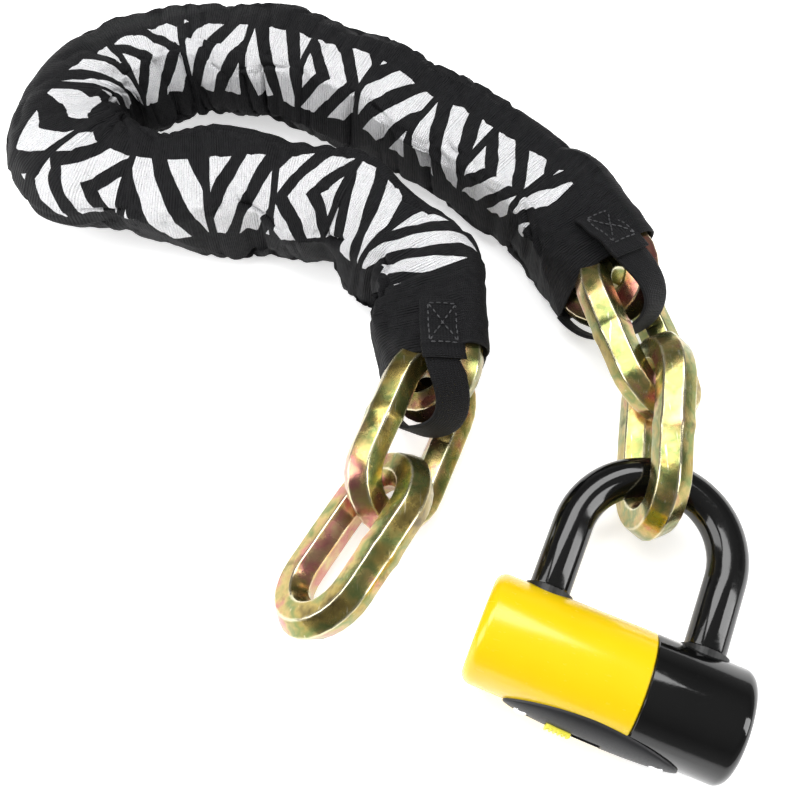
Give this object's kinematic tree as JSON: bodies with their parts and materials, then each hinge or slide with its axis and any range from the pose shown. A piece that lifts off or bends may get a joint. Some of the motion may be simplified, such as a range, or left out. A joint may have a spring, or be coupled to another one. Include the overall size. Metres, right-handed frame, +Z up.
{
  "type": "chain lock",
  "caption": "Sleeved hexagonal steel chain with bare end links, closed by a two-tone cylindrical padlock with a coated U shackle.",
  "frame": {"origin": "middle of the bounding box's base, where the sleeve rests on the ground", "axes": "+Z up; the chain and the lock lie on the ground in X and Y; the lock is at +X, -Y and the sleeve's tight turn at -X"},
  "size_m": [0.3038, 0.3326, 0.0592],
  "materials": {
    "links": "yellow passivated zinc plate, slightly iridescent and scuffed",
    "sleeve_fabric": "woven ballistic nylon with a pale printed pattern",
    "webbing": "fine ribbed nylon webbing",
    "yellow_vinyl": "thick glossy vinyl jacket",
    "black_vinyl": "thick glossy vinyl",
    "hard_steel": "hardened, bright, lightly ground",
    "rivet_steel": "bright button heads",
    "brass": "machined",
    "plate_black": "satin moulded",
    "slider_yellow": "moulded, ribbed",
    "seal_rubber": "soft black ring"
  },
  "bodies": {
    "lock_case": {"black_cover": "black_vinyl", "cylinder_barrel": "brass", "cylinder_pin": "hard_steel", "keyway_plate": "plate_black", "lock_body": "hard_steel", "rivet_left": "rivet_steel", "rivet_right": "rivet_steel", "shackle_seal_left": "seal_rubber", "shackle_seal_right": "seal_rubber", "yellow_cover": "yellow_vinyl"},
    "cylinder_core": {"bolt_cam": "hard_steel", "cylinder_core": "brass", "detainer_disc_1": "brass", "detainer_disc_2": "brass", "detainer_disc_3": "brass"},
    "bolt_left": {"bolt_left": "hard_steel"},
    "bolt_right": {"bolt_right": "hard_steel"},
    "dust_cover": {"dust_cover": "slider_yellow"},
    "link_01": {"link_01": "links"},
    "link_02": {"link_02": "links"},
    "sleeve_left_end": {"link_03": "links", "link_04": "links", "sleeve_left_end": "sleeve_fabric", "strap_left": "webbing"},
    "sleeve_front": {"link_05": "links", "link_06": "links", "sleeve_front": "sleeve_fabric"},
    "sleeve_turn": {"link_07": "links", "link_08": "links", "link_09": "links", "sleeve_turn": "sleeve_fabric"},
    "sleeve_back": {"link_10": "links", "link_11": "links", "link_12": "links", "sleeve_back": "sleeve_fabric"},
    "sleeve_right_end": {"link_13": "links", "link_14": "links", "sleeve_right_end": "sleeve_fabric", "strap_right": "webbing"},
    "link_15": {"link_15": "links"},
    "link_16": {"link_16": "links"},
    "shackle": {"shackle": "hard_steel", "shackle_coating": "black_vinyl"}
  },
  "joints": [
    {"name": "turn_flex", "type": "hinge", "parent": "sleeve_back", "child": "sleeve_turn", "pos_m": [-0.06095, 0.139, 0.03166], "axis": [0, 0, 1], "range_deg": [-8, 2]},
    {"name": "front_flex", "type": "hinge", "parent": "sleeve_turn", "child": "sleeve_front", "pos_m": [-0.05832, 0.06998, 0.03032], "axis": [0, 0, 1], "range_deg": [-5, 2]},
    {"name": "left_end_flex", "type": "hinge", "parent": "sleeve_front", "child": "sleeve_left_end", "pos_m": [0.00915, 0.05403, 0.0266], "axis": [0, 0, 1], "range_deg": [-10, 8]},
    {"name": "right_end_flex", "type": "hinge", "parent": "sleeve_back", "child": "sleeve_right_end", "pos_m": [0.05585, 0.09235, 0.02832], "axis": [0, 0, 1], "range_deg": [-8, 8]},
    {"name": "second_link_swing", "type": "hinge", "parent": "sleeve_left_end", "child": "link_02", "pos_m": [0.03988, -0.02108, 0.02369], "axis": [0, 0, 1], "range_deg": [-3, 12]},
    {"name": "free_link_swing", "type": "hinge", "parent": "link_02", "child": "link_01", "pos_m": [0.02355, -0.06489, 0.0215], "axis": [0, 0, 1], "range_deg": [-12, 15]},
    {"name": "fifteenth_link_swing", "type": "hinge", "parent": "sleeve_right_end", "child": "link_15", "pos_m": [0.11407, 0.01924, 0.0252], "axis": [0, 0, 1], "range_deg": [-3, 10]},
    {"name": "last_link_swing", "type": "hinge", "parent": "link_15", "child": "link_16", "pos_m": [0.12483, -0.01486, 0.02503], "axis": [0, 0, 1], "range_deg": [-8, 0]},
    {"name": "shackle_swing", "type": "hinge", "parent": "link_16", "child": "shackle", "pos_m": [0.12059, -0.06253, 0.02494], "axis": [0, 0, 1], "range_deg": [-10, 15]},
    {"name": "shackle_slide", "type": "slide", "parent": "shackle", "child": "lock_case", "axis": [-0.3821, -0.9224, -0.0561], "range_m": [0, 0.032]},
    {"name": "key_turn", "type": "hinge", "parent": "lock_case", "child": "cylinder_core", "pos_m": [0.10017, -0.12858, 0.02124], "axis": [0.3821, 0.9224, 0.0561], "range_deg": [0, 90]},
    {"name": "bolt_left_slide", "type": "slide", "parent": "lock_case", "child": "bolt_left", "axis": [-0.9239, 0.3827, 0], "range_m": [0, 0.005]},
    {"name": "bolt_right_slide", "type": "slide", "parent": "lock_case", "child": "bolt_right", "axis": [0.9239, -0.3827, 0], "range_m": [0, 0.005]},
    {"name": "dust_cover_slide", "type": "slide", "parent": "lock_case", "child": "dust_cover", "axis": [0.9239, -0.3827, 0], "range_m": [0, 0.01]}
  ],
  "couplings": [
    {"joint": "bolt_left_slide", "follows": "key_turn", "m_per_rad": 0.003183},
    {"joint": "bolt_right_slide", "follows": "key_turn", "m_per_rad": 0.003183}
  ]
}
